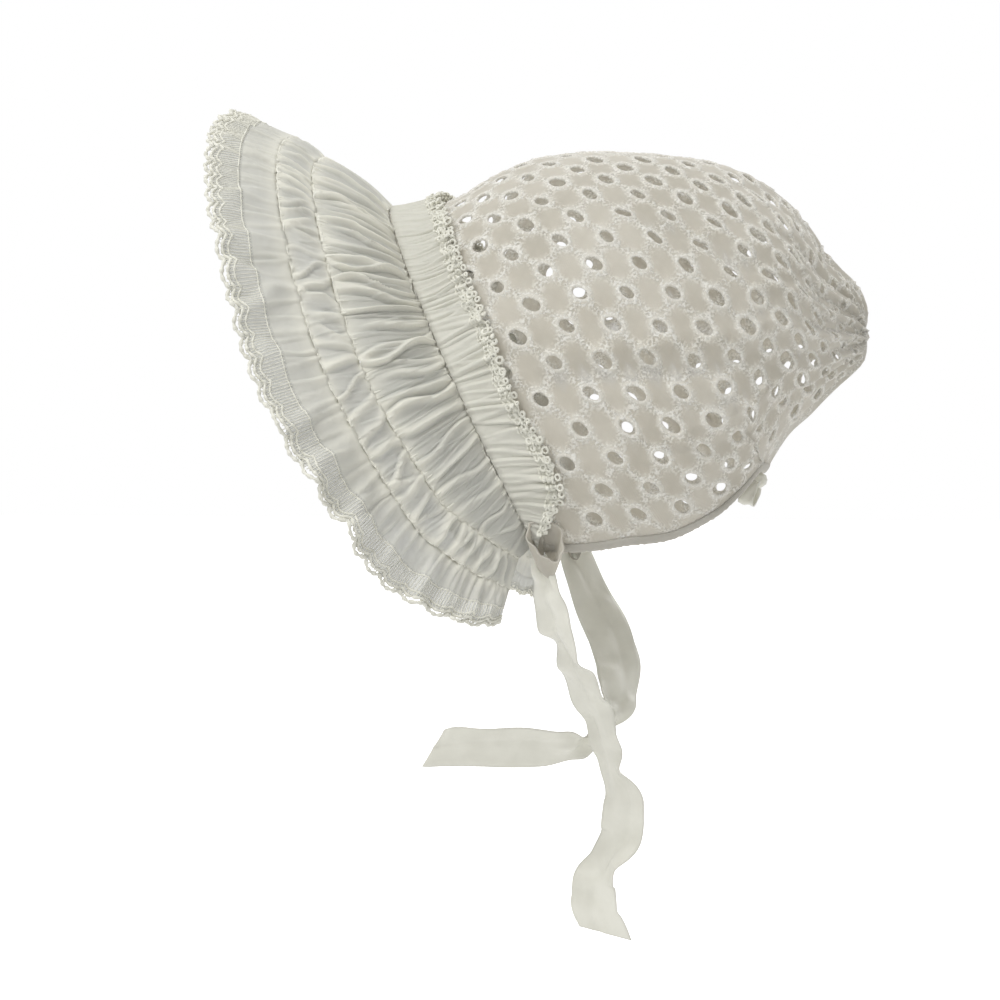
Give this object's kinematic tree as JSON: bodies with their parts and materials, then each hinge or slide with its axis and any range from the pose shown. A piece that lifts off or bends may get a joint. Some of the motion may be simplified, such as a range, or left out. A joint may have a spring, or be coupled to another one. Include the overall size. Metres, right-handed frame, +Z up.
{
  "type": "baby bonnet",
  "caption": "Baby bonnet with a gathered eyelet crown, a wide flared brim of frilled bands, a bound neck edge with a small nape bow and ribbon ties.",
  "frame": {"origin": "inside top of the crown, where it rests on the top of the head", "axes": "+Z up, -X the way that the face looks, -Y the wearer's left, as worn"},
  "size_m": [0.2531, 0.21, 0.3327],
  "materials": {
    "eyelet_cotton": "matt white cotton with embroidered eyelets",
    "sheer_organdy": "sheer matt off-white, pleated",
    "satin_ribbon": "soft satin"
  },
  "bodies": {
    "root": {"crown": "eyelet_cotton", "neck_binding": "eyelet_cotton", "heading_frill": "sheer_organdy", "inner_band": "sheer_organdy", "middle_band": "sheer_organdy", "edge_frill": "sheer_organdy", "tie_left": "satin_ribbon", "tie_right": "satin_ribbon", "bow_loop_left": "satin_ribbon", "bow_loop_right": "satin_ribbon", "bow_knot": "satin_ribbon"}
  },
  "joints": []
}
